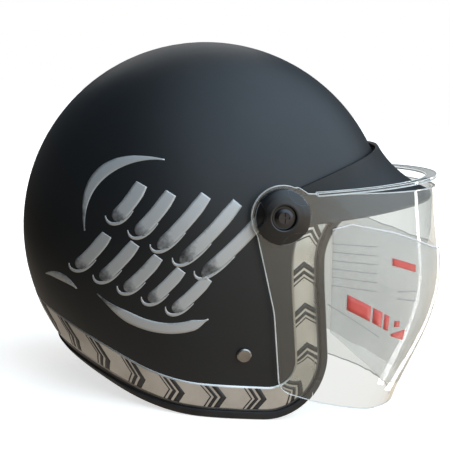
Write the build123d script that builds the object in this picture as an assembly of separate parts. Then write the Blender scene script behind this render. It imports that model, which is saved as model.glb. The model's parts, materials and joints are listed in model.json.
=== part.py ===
from build123d import *
import math
import os

# Open face motorcycle helmet.  Millimetres and degrees.
# The pieces are drawn in the head frame: origin at the dome centre, face toward -Y, crown toward +Z,
# the wearer's left toward +X.  SETTLE then pitches them so that the rim stands flat on z = 0.

os.makedirs("parts", exist_ok=True)

# ---- driving dimensions -------------------------------------------------------------------------
DOME_RADIUS = 145.0          # side-view radius of the outer skin
HALF_WIDTH = 121.0           # half of the widest plan width
PLAN_POWER = 2.2             # superellipse power of the plan sections
FLANK_TAPER = 0.055          # share of the width lost 100 mm below the dome centre, growing squared
NAPE_KNEE = 0.65             # share of the radius below which the nape runs on straight
SHELL_THICKNESS = 4.0
RIM_SLOPE = 6.0              # slope of the standing stretch of the rim
RIM_HEIGHT = -126.8          # height of the standing stretch below the dome centre
TRIM_WIDTH = 6.5             # visible width of the rubber edge trim
TRIM_SKIN = 1.6              # rubber on each face of the shell
TRIM_SEAT = 2.0              # rubber beyond the shell's edge
TRIM_SPLIT = -104.0          # height of the butt joint between face trim and neck trim
FACE_EDGE_Y = -40.0          # the face opening lies ahead of this
BROW_HEIGHT = 20.5           # upper edge of the face opening
JAW_Y = -79.5                # lower front corner of the shell
NAPE_Y = 51.0                # where the rim turns up toward the nape
NAPE_SLOPE = 0.527

FOAM_OUTER = SHELL_THICKNESS + 0.4
FOAM_INNER = 28.0
PAD_OUTER = FOAM_INNER + 0.6
PAD_INNER = PAD_OUTER + 8.0

PIVOT_Y = -36.5              # visor hinge axis, along X
PIVOT_Z = 21.7
SPACER_FACE = 123.0          # flat face that the visor arm turns against
ARM_GAP = 0.3                # between that face and the arm
VISOR_THICKNESS = 2.2
VISOR_SIDE = SPACER_FACE + ARM_GAP + VISOR_THICKNESS
HUB_RADIUS = 8.5
HUB_END = VISOR_SIDE + 0.1
RUNNING_GAP = 0.1
WASHER_THICKNESS = 0.8
CAP_BASE = HUB_END + WASHER_THICKNESS + 0.02
CAP_RADIUS = 19.7
CAP_HEIGHT = 5.6
CAP_WELL = 2.6               # floor of the cap's screw recess
SCREW_RADIUS = 3.0
SCREW_HEAD_RADIUS = 6.2
SCREW_HEAD_HEIGHT = 2.4
INSERT_RADIUS = 4.5
INSERT_FLANGE = 11.0
INSERT_ENDS = (-115.4, -103)
SCALLOP_ANGLES = (90, 210, 330)

RIVET_Y = -11.0
RIVET_Z = -78.0
RIVET_HEAD_RADIUS = 5.3
STRAP_WIDTH = 24.0
STRAP_THICKNESS = 1.8
BUCKLE_LEVEL = 4.4           # middle of the right-hand webbing over the table
TONGUE_LEVEL = 6.2           # middle of the left-hand webbing over the table

RIVET_SHANK = 2.6
PIN_LEVEL = 11.0             # buckle pin over the table
PIN_RADIUS = 1.5
PIN_X = 8.0
SLOT_HALF = 12.6             # half length of the slots that the webbing passes through

FOAM_EDGE = 14.0             # foam stops this far inside the trim's edge
EAR_TOP = -46.0              # top of the foam's ear openings
NAPE_TOP = -58.0             # lower edge of the foam at the nape
CHEEK_OUTER = 13.0           # cheek pads and neck roll, as insets from the outer skin
CHEEK_INNER = 33.0
ROLL_OUTER = 6.0
ROLL_INNER = 24.0
STUD_RADIUS = 4.5
STUDS_AT = ((-52, -66), (-46, -96), (20, -72), (14, -104))

TAB_RADIUS = 13.0            # rounded ends of the peak's arms
PEAK_THICKNESS = 2.4
PEAK_STAND_OFF = 3.9         # of the arms from the shell
TOP_FLARE = 2.9              # further stand-off at the middle of the top edge
LIP_FLARE = 34.8             # further stand-off at the middle of the lip
LIP_ROOT = 17.7              # height on the shell behind the lip
LIP_POWER = 2.1              # how fast the lip draws in toward the sides
PEAK_SWEEP = 102.0           # angle from straight ahead to the end of each arm

VISOR_DISC = 22.0            # rounded arm ends of the visor
VISOR_CENTRE = -40.0         # centre of the front ellipses
VISOR_LEAN = 7.0             # how far the arms draw in 105 mm below the dome centre
VISOR_TOP = 37.5             # top edge, 55 mm ahead of the dome centre
TOP_SLOPE = 0.038
VISOR_FRONT = ((46, 183.5), (20, 186.4), (0, 188.5), (-30, 191.3), (-60, 188.5),
               (-90, 177), (-120, 161), (-165, 143))    # (height, forward reach) of the visor's front
FLANGE_SIDE = 117.5          # half axes of the opening inside the visor's turned-in lip
FLANGE_FRONT = 128.0

FAR = 260.0                  # reaches past every piece
BISECTIONS = 44


# ---- dome skin ----------------------------------------------------------------------------------
def rear_reach(z, radius):
    """Rear half length at height z: a circle down to the nape knee, then its tangent."""
    knee = -NAPE_KNEE * radius
    if z > knee:
        return math.sqrt(radius**2 - z**2)
    at_knee = math.sqrt(radius**2 - knee**2)
    return at_knee + (z - knee) * -knee / at_knee


def dome_level(x, y, z, inset):
    """1 on the skin drawn inset from the outer one, less inside it and more outside."""
    radius = DOME_RADIUS - inset
    width = HALF_WIDTH - inset
    if z >= 0:
        plan = abs(x / width)**PLAN_POWER + abs(y / radius)**PLAN_POWER
        return plan**(2 / PLAN_POWER) + (z / radius)**2
    width *= 1 - FLANK_TAPER * (z / 100)**2
    reach = rear_reach(z, radius) if y > 0 else radius
    if reach <= 0 or width <= 0:
        return 2.0
    return (abs(x / width)**PLAN_POWER + abs(y / reach)**PLAN_POWER)**(2 / PLAN_POWER)


def on_skin(direction, inset):
    """Point where a ray from the dome centre meets the skin."""
    low = 0.0
    high = 320.0
    for _ in range(BISECTIONS):
        middle = (low + high) / 2
        if dome_level(*[middle * d for d in direction], inset) < 1:
            low = middle
        else:
            high = middle
    return tuple(low * d for d in direction)


def dome_grid(inset, across=34, along=30):
    """Rows of skin points.  The two angles are spread evenly, and no pole lies on the helmet."""
    rows = []
    for i in range(along + 1):
        back = math.tan(math.radians(-110 + 244 * i / along) / 2)
        row = []
        for j in range(across + 1):
            side = math.tan(math.radians(-143 + 286 * j / across) / 2)
            k = 1 + side**2 + back**2
            row.append(on_skin((2 * side / k, 2 * back / k, (2 - k) / k), inset))
        rows.append(row)
    return rows


def slab(outer_rows, inner_rows):
    """Closed solid between two point grids."""
    outer = Face.make_surface_from_array_of_points(outer_rows)
    inner = Face.make_surface_from_array_of_points(inner_rows)
    sides = [Face.make_surface_from_curves(a, b) for a, b in zip(outer.edges(), inner.edges())]
    solid = Solid(Shell([outer, inner, *sides]))
    return solid if solid.volume > 0 else -solid


skins = {}


def wall(outer_inset, inner_inset):
    """Dome wall between two insets, before its edges are trimmed."""
    for inset in (outer_inset, inner_inset):
        if inset not in skins:
            skins[inset] = dome_grid(inset)
    return slab(skins[outer_inset], skins[inner_inset])


# ---- side-view outlines, drawn as (y, z) --------------------------------------------------------
def outline(points, radii):
    """Closed side-view face: straight runs joined by tangent arcs, one radius for each corner."""
    return make_face(FilletPolyline(*points, radius=radii, close=True))


def through(face, low=-FAR, high=FAR):
    """Prism of a side-view face along X."""
    return extrude(Plane.YZ.offset(low) * face, high - low)


def rim_line(y):
    return RIM_HEIGHT + y * math.tan(math.radians(RIM_SLOPE))


def helmet_outline(inset=0.0):
    """Side view of everything behind the face opening and above the neck opening."""
    nape = rim_line(NAPE_Y)
    rear = nape + (FAR - NAPE_Y) * NAPE_SLOPE
    points = [(-FAR, BROW_HEIGHT), (-69.5, BROW_HEIGHT), (-70.7, -30), (JAW_Y, rim_line(JAW_Y)),
              (NAPE_Y, nape), (FAR, rear), (FAR, FAR), (-FAR, FAR)]
    face = outline(points, [0, 34, 200, 44, 160, 0, 0, 0])
    return offset(face, -inset) if inset else face


def x_rod(radius, low, high, y=PIVOT_Y, z=PIVOT_Z):
    """Cylinder along X between two stations."""
    return Pos((low + high) / 2, y, z) * Rot(0, 90, 0) * Cylinder(radius, high - low)


def side_rect(low_y, low_z, high_y, high_z):
    return Pos((low_y + high_y) / 2, (low_z + high_z) / 2) * Rectangle(high_y - low_y, high_z - low_z)


def flip(shape):
    return mirror(shape, Plane.YZ)


# ---- shell and trim -----------------------------------------------------------------------------
def shell_blank():
    return wall(0, SHELL_THICKNESS) & through(helmet_outline(TRIM_SEAT))


def outer_shell():
    shell = shell_blank()
    shell -= x_rod(INSERT_RADIUS + 0.1, -FAR, FAR)
    return shell - x_rod(RIVET_SHANK + 0.6, -FAR, FAR, RIVET_Y, RIVET_Z)


def edge_trim(region):
    """Rubber channel over the shell's edge, along the part of the edge inside a side-view region."""
    band = (helmet_outline() - helmet_outline(TRIM_WIDTH)) & region
    channel = wall(-TRIM_SKIN, SHELL_THICKNESS + TRIM_SKIN) & through(band)
    return channel - shell_blank()


def face_edge_trim():
    return edge_trim(side_rect(-FAR, TRIM_SPLIT, FACE_EDGE_Y, FAR))


def neck_edge_trim():
    return edge_trim(side_rect(-FAR, -FAR, FAR, TRIM_SPLIT) + side_rect(FACE_EDGE_Y, -FAR, FAR, FAR))


# ---- foam liner and pads ------------------------------------------------------------------------
def impact_liner():
    """Energy-absorbing foam: open over the ears and stopped above the neck roll."""
    area = helmet_outline(FOAM_EDGE)
    ear = [(-FAR, EAR_TOP), (34, EAR_TOP), (40, NAPE_TOP), (FAR, NAPE_TOP), (FAR, -FAR), (-FAR, -FAR)]
    foam = wall(FOAM_OUTER, FOAM_INNER) & through(area - outline(ear, [0, 14, 14, 0, 0, 0]))
    relief = x_rod(INSERT_FLANGE + 1.5, -FAR, -100)
    return foam - relief - flip(relief)


def crown_pad():
    column = Pos(0, 4, 100) * Cylinder(72, 200)
    return wall(PAD_OUTER, PAD_INNER) & column


def brow_pad():
    area = outline([(-FAR, 40), (-58, 40), (-58, 68), (-FAR, 68)], [0, 6, 6, 0])
    return wall(PAD_OUTER, PAD_INNER) & through(area)


def rear_head_pad():
    area = outline([(22, -54), (FAR, -54), (FAR, 6), (22, 6)], [10, 0, 0, 10])
    return wall(PAD_OUTER, PAD_INNER) & through(area)


def neck_roll():
    """Padded roll round the nape, under the foam."""
    top = NAPE_TOP - 3
    area = helmet_outline(9) & outline([(46, -FAR), (FAR, -FAR), (FAR, top), (46, top)], [0, 0, 0, 8])
    return wall(ROLL_OUTER, ROLL_INNER) & through(area)


def cheek_pad():
    """Right-hand cheek pad: a thick block under the ear opening, clear of the strap behind it."""
    area = helmet_outline(11) & outline([(-FAR, -FAR), (38, -FAR), (38, -52), (-FAR, -52)], [0, 0, 16, 0])
    return wall(CHEEK_OUTER, CHEEK_INNER) & through(area, -FAR, 0)


def cheek_studs():
    """Snap studs between the shell and both cheek pads."""
    gap = wall(SHELL_THICKNESS, CHEEK_OUTER)
    right = [gap & x_rod(STUD_RADIUS, -FAR, 0, y, z) for y, z in STUDS_AT]
    left = [gap & x_rod(STUD_RADIUS, 0, FAR, y, z) for y, z in STUDS_AT]
    return Compound(children=[stud.solids()[0] for stud in right + left])


# ---- peak ---------------------------------------------------------------------------------------
def peak_top(y):
    """Height of the peak's top edge on the shell."""
    ahead = -46.3 - y
    return 38.5 + 0.385 * ahead - 0.0007 * ahead**2


def shell_reach(angle, height_at):
    """Distance from the pivot line to the shell in a direction, along a line of given height."""
    low = 0.0
    high = 200.0
    for _ in range(BISECTIONS):
        middle = (low + high) / 2
        y = PIVOT_Y - middle * math.cos(angle)
        if dome_level(middle * math.sin(angle), y, height_at(y), 0) < 1:
            low = middle
        else:
            high = middle
    return low


def peak_point(angle, t):
    """Outer face of the peak: angle from straight ahead about the pivot line, t from top edge to lip."""
    ahead = max(0.0, math.cos(angle))
    at_shell = shell_reach(angle, peak_top)
    top = at_shell + PEAK_STAND_OFF + TOP_FLARE * ahead**1.5
    top_z = peak_top(PIVOT_Y - at_shell * math.cos(angle))
    lip = shell_reach(angle, lambda y: LIP_ROOT) + PEAK_STAND_OFF + LIP_FLARE * ahead**LIP_POWER
    lip_z = 13.6 + 14 * ahead**1.5
    reach = lip - top
    drop = top_z - lip_z
    knots = [(top, top_z), (top + 0.25 * reach, top_z - 0.5 * drop),
             (lip - 0.34 * reach, lip_z + 0.17 * drop), (lip, lip_z)]
    weights = [(1 - t)**3, 3 * t * (1 - t)**2, 3 * t**2 * (1 - t), t**3]
    radial = sum(w * k[0] for w, k in zip(weights, knots))
    height = sum(w * k[1] for w, k in zip(weights, knots))
    return Vector(radial * math.sin(angle), PIVOT_Y - radial * math.cos(angle), height)


def peak_grid(depth, along=36, down=8):
    """Points a given depth behind the peak's outer face."""
    step = 1e-3
    rows = []
    for i in range(along + 1):
        angle = math.radians(PEAK_SWEEP * (2 * i / along - 1))
        row = []
        for j in range(down + 1):
            t = j / down
            point = peak_point(angle, t)
            across = peak_point(angle + step, t) - point
            downward = peak_point(angle, t + step) - point
            normal = across.cross(downward).normalized()
            if normal.dot(point - Vector(0, PIVOT_Y, 0)) < 0:
                normal = -normal
            row.append(tuple(point - normal * depth))
        rows.append(row)
    return rows


def peak():
    body = slab(peak_grid(0), peak_grid(PEAK_THICKNESS))
    arms = Pos(PIVOT_Y, PIVOT_Z) * Circle(TAB_RADIUS)
    body &= through(arms + side_rect(-FAR, -FAR, PIVOT_Y - 4, FAR))
    return body - x_rod(SCREW_RADIUS + 0.3, -FAR, FAR)


# ---- visor --------------------------------------------------------------------------------------
def visor_section(z, reach):
    """Plan section of the visor: flat side arms and an elliptical front that meets them at a crease."""
    lean = max(0.0, -z / 105)**1.6 * VISOR_LEAN
    crease_y = -53 - 9 * (1 - ((z + 85) / 110)**2)
    outer = []
    inner = []
    for depth, line in ((0, outer), (VISOR_THICKNESS, inner)):
        side = VISOR_SIDE - lean - depth
        length = reach + VISOR_CENTRE - depth
        width = side / math.sqrt(1 - ((crease_y - VISOR_CENTRE) / length)**2)
        start = math.asin(side / width)
        front = []
        for i in range(17):
            angle = start * (i / 8 - 1)
            front.append((width * math.sin(angle), VISOR_CENTRE - length * math.cos(angle), z))
        line += [Line((-side, 8, z), front[0]), Spline(*front), Line(front[-1], (side, 8, z))]
    ends = [Line(outer[2] @ 1, inner[2] @ 1), Line(inner[0] @ 0, outer[0] @ 0)]
    return Wire([line.edge() for line in [*outer, ends[0], *reversed(inner), ends[1]]])


def visor():
    sections = [visor_section(z, reach) for z, reach in VISOR_FRONT]
    body = Solid.make_loft(sections)
    top = VISOR_TOP
    front_top = top - (FAR - 55) * TOP_SLOPE
    edge = [(-FAR, front_top), (-55, top), (-48, top + 4.5), (PIVOT_Y, PIVOT_Z + 20), (-18, 12),
            (-31.6, -47.3), (-36.8, -106), (-69, -117.3), (-112, -130.5), (-FAR, -154)]
    area = outline(edge, [0, 0, 0, 0, 0, 60, 13, 60, 60, 0]) + Pos(PIVOT_Y, PIVOT_Z) * Circle(VISOR_DISC)
    body &= through(area)
    return body + visor_flange() - x_rod(HUB_RADIUS + RUNNING_GAP, -FAR, FAR)


def visor_flange():
    """Turned-in lip along the visor's top edge, in the plane of that edge."""
    front = Plane((0, -55, VISOR_TOP), x_dir=(1, 0, 0), z_dir=(0, TOP_SLOPE, 1))
    ring = Pos(0, 15) * Ellipse(VISOR_SIDE * 1.0068, 146) - Pos(0, 5) * Ellipse(FLANGE_SIDE, FLANGE_FRONT)
    ring &= Pos(0, -107) * Rectangle(2 * VISOR_SIDE - 1, 200)
    return extrude(front * ring, -VISOR_THICKNESS)


# ---- pivots -------------------------------------------------------------------------------------
def pivot_insert():
    """Threaded insert: a flange under the shell and a barrel through it."""
    flange = wall(SHELL_THICKNESS, SHELL_THICKNESS + 1.3) & x_rod(INSERT_FLANGE, -FAR, 0)
    barrel = x_rod(INSERT_RADIUS, *INSERT_ENDS)
    return flange + barrel - x_rod(SCREW_RADIUS + 0.05, -FAR, 0)


def pivot_spacer():
    """Spacer on the peak's arm: follows the arm inside, flat outside, with the visor's hub."""
    base = x_rod(TAB_RADIUS, -SPACER_FACE, INSERT_ENDS[0])
    arm = slab(peak_grid(-0.02), peak_grid(12))
    shell = wall(-0.1, 12)
    hub = x_rod(HUB_RADIUS, -HUB_END, -SPACER_FACE)
    return base - arm - shell + hub - x_rod(SCREW_RADIUS + 0.2, -FAR, 0)


def friction_washer():
    ring = x_rod(CAP_RADIUS - 3, -HUB_END - WASHER_THICKNESS, -HUB_END)
    return ring - x_rod(HUB_RADIUS + 0.5, -FAR, 0)


def pivot_cap():
    """Domed cap with a screw recess and three finger scallops."""
    profile = Polyline((0, 0), (CAP_RADIUS, 0), (CAP_RADIUS, 2.2))
    dome = ThreePointArc((CAP_RADIUS, 2.2), (14.2, 4.7), (9.6, CAP_HEIGHT))
    recess = Polyline((9.6, CAP_HEIGHT), (8.4, CAP_WELL), (0, CAP_WELL), (0, 0))
    cap = revolve(Plane.XZ * make_face([*profile.edges(), dome.edge(), *recess.edges()]), Axis.Z)
    for angle in SCALLOP_ANGLES:
        place = Rot(0, 0, angle) * Pos(CAP_RADIUS + 3.2, 0, 6.4)
        cap -= place * Sphere(6.2)
    cap -= Cylinder(SCREW_RADIUS + 0.2, 6 * CAP_HEIGHT)
    return Pos(-CAP_BASE, PIVOT_Y, PIVOT_Z) * Rot(0, -90, 0) * cap


def pivot_screw():
    """Cross-head screw from the cap's recess into the insert."""
    half = SCREW_HEAD_HEIGHT / 2
    above = (Align.CENTER, Align.CENTER, Align.MIN)
    below = (Align.CENTER, Align.CENTER, Align.MAX)
    dome = Pos(0, 0, half) * Cone(SCREW_HEAD_RADIUS, 4.2, 0.9, align=above)
    cross = Box(7.4, 1.3, 2.2) + Box(1.3, 7.4, 2.2)
    head = Cylinder(SCREW_HEAD_RADIUS, 2 * half) + dome - Pos(0, 0, 1.9) * cross
    shank = Pos(0, 0, -half) * Cylinder(SCREW_RADIUS, 22, align=below)
    return Pos(-CAP_BASE - CAP_WELL - 0.02 - half, PIVOT_Y, PIVOT_Z) * Rot(0, -90, 0) * (head + shank)


# ---- settled frame ------------------------------------------------------------------------------
# The straps and the buckle are drawn where the helmet stands, with the table at z = 0.
VISOR_REACH = 194.2          # forward reach of the visor once settled
SETTLE = (Pos(0, (VISOR_REACH - DOME_RADIUS) / 2, -RIM_HEIGHT * math.cos(math.radians(RIM_SLOPE)))
          * Rot(-RIM_SLOPE, 0, 0))
RIVET_AT = (SETTLE * Pos(0, RIVET_Y, RIVET_Z)).position
WALL_LEAN = 7.0              # lean of the shell's flank at the strap rivet
ANCHOR = Pos(112.2, RIVET_AT.Y, RIVET_AT.Z) * Rot(0, WALL_LEAN, 0)   # left-hand rivet, local -X inward


def strap_prism(face, width=STRAP_WIDTH):
    """Solid of a face drawn in the X-Z plane, centred on the straps' plane."""
    return Pos(0, RIVET_AT.Y, 0) * extrude(Plane.XZ * face, width / 2, both=True)


def webbing_loop(length):
    """Stitched loop of webbing round a bar, seen from the side, its open end at the origin."""
    gap = 2.0
    outer = RectangleRounded(gap + 2 * STRAP_THICKNESS, length, gap / 2 + STRAP_THICKNESS - 0.01)
    inner = RectangleRounded(gap, length - 2 * STRAP_THICKNESS, gap / 2 - 0.01)
    return Pos(0, length / 2) * (outer - inner)


def ribbon(points, radii):
    """Side view of webbing that follows a path."""
    path = FilletPolyline(*points, radius=radii)
    return make_face(offset(path, STRAP_THICKNESS / 2, kind=Kind.INTERSECTION).edges())


def strap_rivet():
    """Left-hand rivet: bevelled head outside the shell, clinched behind the anchor plate."""
    head = x_rod(RIVET_HEAD_RADIUS, 4.9, 7.3, 0, 0)
    head = chamfer(head.edges().sort_by(Axis.X)[-1:], 0.8)
    shank = x_rod(RIVET_SHANK, -5.2, 5.0, 0, 0)
    tail = x_rod(4.2, -5.4, -4.4, 0, 0)
    return ANCHOR * (head + shank + tail)


def strap_anchor():
    """Left-hand steel anchor plate with a slot for the webbing, and its stand-off collar."""
    points = [(-9, 8), (9, 8), (16, -12), (16, -24), (-16, -24), (-16, -12)]
    plate = outline(points, [5, 5, 4, 3, 3, 4]) - Circle(RIVET_SHANK + 0.2)
    plate -= side_rect(-STRAP_WIDTH / 2 - 0.7, -21.4, STRAP_WIDTH / 2 + 0.7, -17.4)
    collar = x_rod(4.6, -2.7, 0.2, 0, 0) - x_rod(RIVET_SHANK + 0.2, -5, 5, 0, 0)
    return ANCHOR * (through(plate, -4.3, -2.7) + collar)


def chin_strap(level, inner_end):
    """Left-hand webbing: loop on the anchor, down the flank, then level to a loop on the hardware."""
    loop_top = strap_prism_at_anchor(webbing_loop(17))
    foot = ANCHOR * Pos(-3.5, 0, -35)
    points = [(foot.position.X, foot.position.Z), (102.6, level), (inner_end + 15, level)]
    run = strap_prism(ribbon(points, 6))
    loop_end = strap_prism(Pos(inner_end + 15.8, level) * Rot(0, 0, 90) * webbing_loop(17.8))
    return loop_top + run + loop_end


def strap_prism_at_anchor(face):
    return ANCHOR * Pos(-3.5, 0, -35.9) * extrude(Plane.XZ * face, STRAP_WIDTH / 2, both=True)


def strap_sleeve(level, start, end):
    """Soft comfort sleeve round the webbing."""
    middle = Pos((start + end) / 2, RIVET_AT.Y, level)
    body = Box(end - start, STRAP_WIDTH + 9, 6.4)
    body = fillet(body.edges().filter_by(Axis.X), 3)
    return middle * (body - Box(end, STRAP_WIDTH + 0.6, STRAP_THICKNESS + 0.6))


def strap_keeper():
    """Flat plastic loop that holds the spare webbing."""
    middle = Pos(65, RIVET_AT.Y, TONGUE_LEVEL)
    body = fillet(Box(9, STRAP_WIDTH + 6, 5.6).edges().filter_by(Axis.X), 1.2)
    return middle * (body - Box(20, STRAP_WIDTH + 0.6, STRAP_THICKNESS + 0.6))


def plan_rect(low_x, low_y, high_x, high_y):
    return Pos((low_x + high_x) / 2, (low_y + high_y) / 2) * Rectangle(high_x - low_x, high_y - low_y)


def plate_between(face, low, high):
    """Level plate of a plan face between two heights, centred on the straps' plane."""
    return Pos(0, RIVET_AT.Y, low) * extrude(face, high - low)


def pin_rod(radius, half_length):
    """Cylinder on the buckle pin's axis."""
    return Pos(PIN_X, RIVET_AT.Y, PIN_LEVEL) * Rot(90, 0, 0) * Cylinder(radius, 2 * half_length)


def buckle_frame():
    """Steel channel: floor with a webbing slot, and two cheeks that carry the lever's pin."""
    floor = fillet(plan_rect(-36, -14, 12, 14).vertices(), 2.5) - plan_rect(-32, -SLOT_HALF, -28.4, SLOT_HALF)
    frame = plate_between(floor, 3.8, 5.0)
    cheek = make_face(Polyline((-18, 3.8), (12, 3.8), (12, 14), (0, 14), (-18, 8.5), (-18, 3.8)))
    cheek = fillet(cheek.vertices().filter_by(lambda v: v.Y > 8), 2.4)
    for side in (-1, 1):
        frame += Pos(0, side * 13.4, 0) * strap_prism(cheek, 1.2)
    return frame - pin_rod(PIN_RADIUS + 0.05, 20)


def buckle_pin():
    pin = pin_rod(PIN_RADIUS, 14.4)
    for side in (-1, 1):
        pin += Pos(0, side * 14.6, 0) * pin_rod(2.4, 0.4)
    return pin


def buckle_lever():
    """Lever with a pawl that drops into the tongue's teeth and a raised finger end."""
    side = make_face(Polyline((10.4, 9.0), (10.4, 13), (-18, 12.2), (-30, 14.6), (-30, 13), (-18.6, 10.2),
                              (-6, 10.2), (-6.6, 7.6), (-1.2, 10.0), (6, 9.0), (10.4, 9.0)))
    lever = strap_prism(side, 16) + pin_rod(2.5, 8.0) - pin_rod(PIN_RADIUS + 0.08, 20)
    return lever + plate_between(plan_rect(-18, -11, -29.8, 11), 12.4, 14.4) - pin_rod(PIN_RADIUS + 0.08, 20)


def buckle_spring():
    """Return spring on the pin, between the lever and a cheek."""
    coil = pin_rod(2.5, 1.9) - pin_rod(PIN_RADIUS + 0.15, 5)
    return Pos(0, 10.4, 0) * coil


def toothed_tongue():
    """Flat tongue with a row of saw teeth, and an eye for the webbing."""
    plan = plan_rect(-22, -8.5, 36, 8.5) + fillet(plan_rect(34, -15, 44, 15).vertices(), 2.5)
    tongue = plate_between(plan - plan_rect(36.6, -SLOT_HALF, 40.2, SLOT_HALF), 5.4, 7.0)
    for i in range(10):
        x = -19 + 2.6 * i
        tongue += strap_prism(make_face(Polyline((x, 6.9), (x + 2.4, 6.9), (x + 0.3, 7.9), (x, 6.9))), 14)
    return tongue


def pull_tab():
    """Short ribbon loop on the lever's finger end."""
    return plate_between(fillet(plan_rect(-46, -7, -30.2, 7).vertices(), 3), 13.0, 14.2)


# ---- assembly -----------------------------------------------------------------------------------
def write(name, shape):
    export_step(shape, f"parts/{name}.step")


single = [outer_shell, face_edge_trim, neck_edge_trim, impact_liner, crown_pad, brow_pad, rear_head_pad,
          neck_roll, cheek_studs, peak, visor]
paired = [cheek_pad, pivot_insert, pivot_spacer, friction_washer, pivot_cap, pivot_screw]
buckle = [strap_keeper, buckle_frame, buckle_pin, buckle_lever, buckle_spring, toothed_tongue, pull_tab]


def main():
    for make in single:
        write(make.__name__, SETTLE * make())
    for make in paired:
        right = make()
        write(make.__name__ + "_right", SETTLE * right)
        write(make.__name__ + "_left", SETTLE * flip(right))
    for make in (strap_rivet, strap_anchor):
        left = make()
        write(make.__name__ + "_left", left)
        write(make.__name__ + "_right", flip(left))
    write("chin_strap_left", chin_strap(TONGUE_LEVEL, 38.8))
    write("chin_strap_right", flip(chin_strap(BUCKLE_LEVEL, 30.8)))
    write("strap_sleeve_left", strap_sleeve(TONGUE_LEVEL, 72, 95))
    write("strap_sleeve_right", flip(strap_sleeve(BUCKLE_LEVEL, 52, 95)))
    for make in buckle:
        write(make.__name__, make())


if __name__ == "__main__":
    main()
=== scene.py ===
import bmesh
import bpy
import json
import math
import numpy as np
from mathutils import Matrix, Vector
from mathutils.bvhtree import BVHTree


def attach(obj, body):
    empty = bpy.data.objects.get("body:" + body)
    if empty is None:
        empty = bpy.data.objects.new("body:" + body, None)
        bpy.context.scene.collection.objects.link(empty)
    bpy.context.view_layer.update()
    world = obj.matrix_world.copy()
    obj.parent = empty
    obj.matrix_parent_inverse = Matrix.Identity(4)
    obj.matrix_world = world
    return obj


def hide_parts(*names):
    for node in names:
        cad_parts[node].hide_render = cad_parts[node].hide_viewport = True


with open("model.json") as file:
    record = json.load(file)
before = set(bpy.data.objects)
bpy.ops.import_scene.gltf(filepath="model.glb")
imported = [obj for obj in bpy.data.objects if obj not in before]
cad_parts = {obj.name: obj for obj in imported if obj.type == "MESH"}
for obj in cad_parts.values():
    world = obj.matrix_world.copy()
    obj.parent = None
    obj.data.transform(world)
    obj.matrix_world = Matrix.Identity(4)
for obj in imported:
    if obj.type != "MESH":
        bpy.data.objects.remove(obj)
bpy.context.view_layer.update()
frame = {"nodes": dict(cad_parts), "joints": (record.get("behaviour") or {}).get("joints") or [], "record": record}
nodes = frame["nodes"]
joints = {joint["name"]: joint for joint in frame["joints"]}

# ---- head frame ---------------------------------------------------------------------------------
# Shapes that follow the shell are worked out in the head frame of the CAD model: millimetres from
# the dome centre, face toward -Y.  HEAD carries them into the row frame, in metres.
RIM_SLOPE = math.radians(6.0)
PIVOT_IN_HEAD = Vector((0, -36.5, 21.7))
PIVOT = Vector(joints["visor_hinge"]["pos_m"])
HEAD = (Matrix.Translation(PIVOT) @ Matrix.Rotation(-RIM_SLOPE, 4, "X")
        @ Matrix.Scale(0.001, 4) @ Matrix.Translation(-PIVOT_IN_HEAD))
HEAD_TURN = HEAD.to_3x3().normalized()
HEAD_ARRAY = np.array(HEAD)

RADIUS = 145.0
HALF_WIDTH = 121.0
POWER = 2.2
TAPER = 0.055
KNEE = 0.65
TRIM_WIDTH = 6.5
TRIM_SPLIT = -104.0          # above this height the edge trim belongs to the face opening
SHELL_THICKNESS = 4.0


def to_row(points):
    points = np.asarray(points, float).reshape(-1, 3)
    return points @ HEAD_ARRAY[:3, :3].T + HEAD_ARRAY[:3, 3]


def to_head(points):
    points = np.asarray(points, float).reshape(-1, 3)
    return (points - HEAD_ARRAY[:3, 3]) @ np.linalg.inv(HEAD_ARRAY[:3, :3]).T


def unit(rows):
    return rows / np.linalg.norm(rows, axis=1)[:, None]


def smooth(s, low, high):
    """0 up to low, 1 from high, and an S curve between."""
    t = np.clip((s - low) / (high - low), 0, 1)
    return t * t * (3 - 2 * t)


def bisect(holds, low, high, count, rounds):
    """For each of count places, the largest value between low and high for which holds is true."""
    low = np.full(count, low)
    high = np.full(count, high)
    for _ in range(rounds):
        middle = (low + high) / 2
        held = holds(middle)
        low = np.where(held, middle, low)
        high = np.where(held, high, middle)
    return low


def rear_reach(z, radius):
    knee = -KNEE * radius
    at_knee = np.sqrt(radius**2 - knee**2)
    rounded = np.sqrt(np.maximum(radius**2 - z**2, 0))
    return np.where(z > knee, rounded, at_knee - (z - knee) * knee / at_knee)


def skin_size(y, z, inset):
    """Radius, half width and reach fore and aft of the skin drawn inset from the outer one."""
    radius = RADIUS - inset
    width = (HALF_WIDTH - inset) * np.where(z < 0, 1 - TAPER * (z / 100)**2, 1)
    reach = np.where((z < 0) & (y > 0), rear_reach(z, radius), radius)
    return radius, width, reach


def level(points, inset=0.0):
    """1 on the shell's skin drawn inset from the outer one, less inside."""
    x, y, z = np.asarray(points, float).T
    radius, width, reach = skin_size(y, z, inset)
    plan = np.abs(x / width)**POWER + np.abs(y / np.maximum(reach, 1))**POWER
    return plan**(2 / POWER) + np.where(z > 0, (z / radius)**2, 0)


def side_x(y, z, inset=0.0):
    """Half width of the skin at a point of the side view; 0 outside it."""
    radius, width, reach = skin_size(y, z, inset)
    total = np.where(z > 0, np.maximum(1 - (z / radius)**2, 0)**(POWER / 2), 1)
    return width * np.maximum(total - np.abs(y / reach)**POWER, 0)**(1 / POWER)


def on_skin(directions, inset=0.0):
    """Where rays from the dome centre meet the skin."""
    d = unit(np.asarray(directions, float).reshape(-1, 3))
    return d * bisect(lambda r: level(d * r[:, None], inset) < 1, 0.0, 320.0, len(d), 36)[:, None]


def inset_of(points):
    """Inset of the skin that passes through each row-frame point."""
    head = to_head(points)
    return bisect(lambda inset: level(head, inset) < 1, -5.0, 80.0, len(head), 22)


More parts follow.
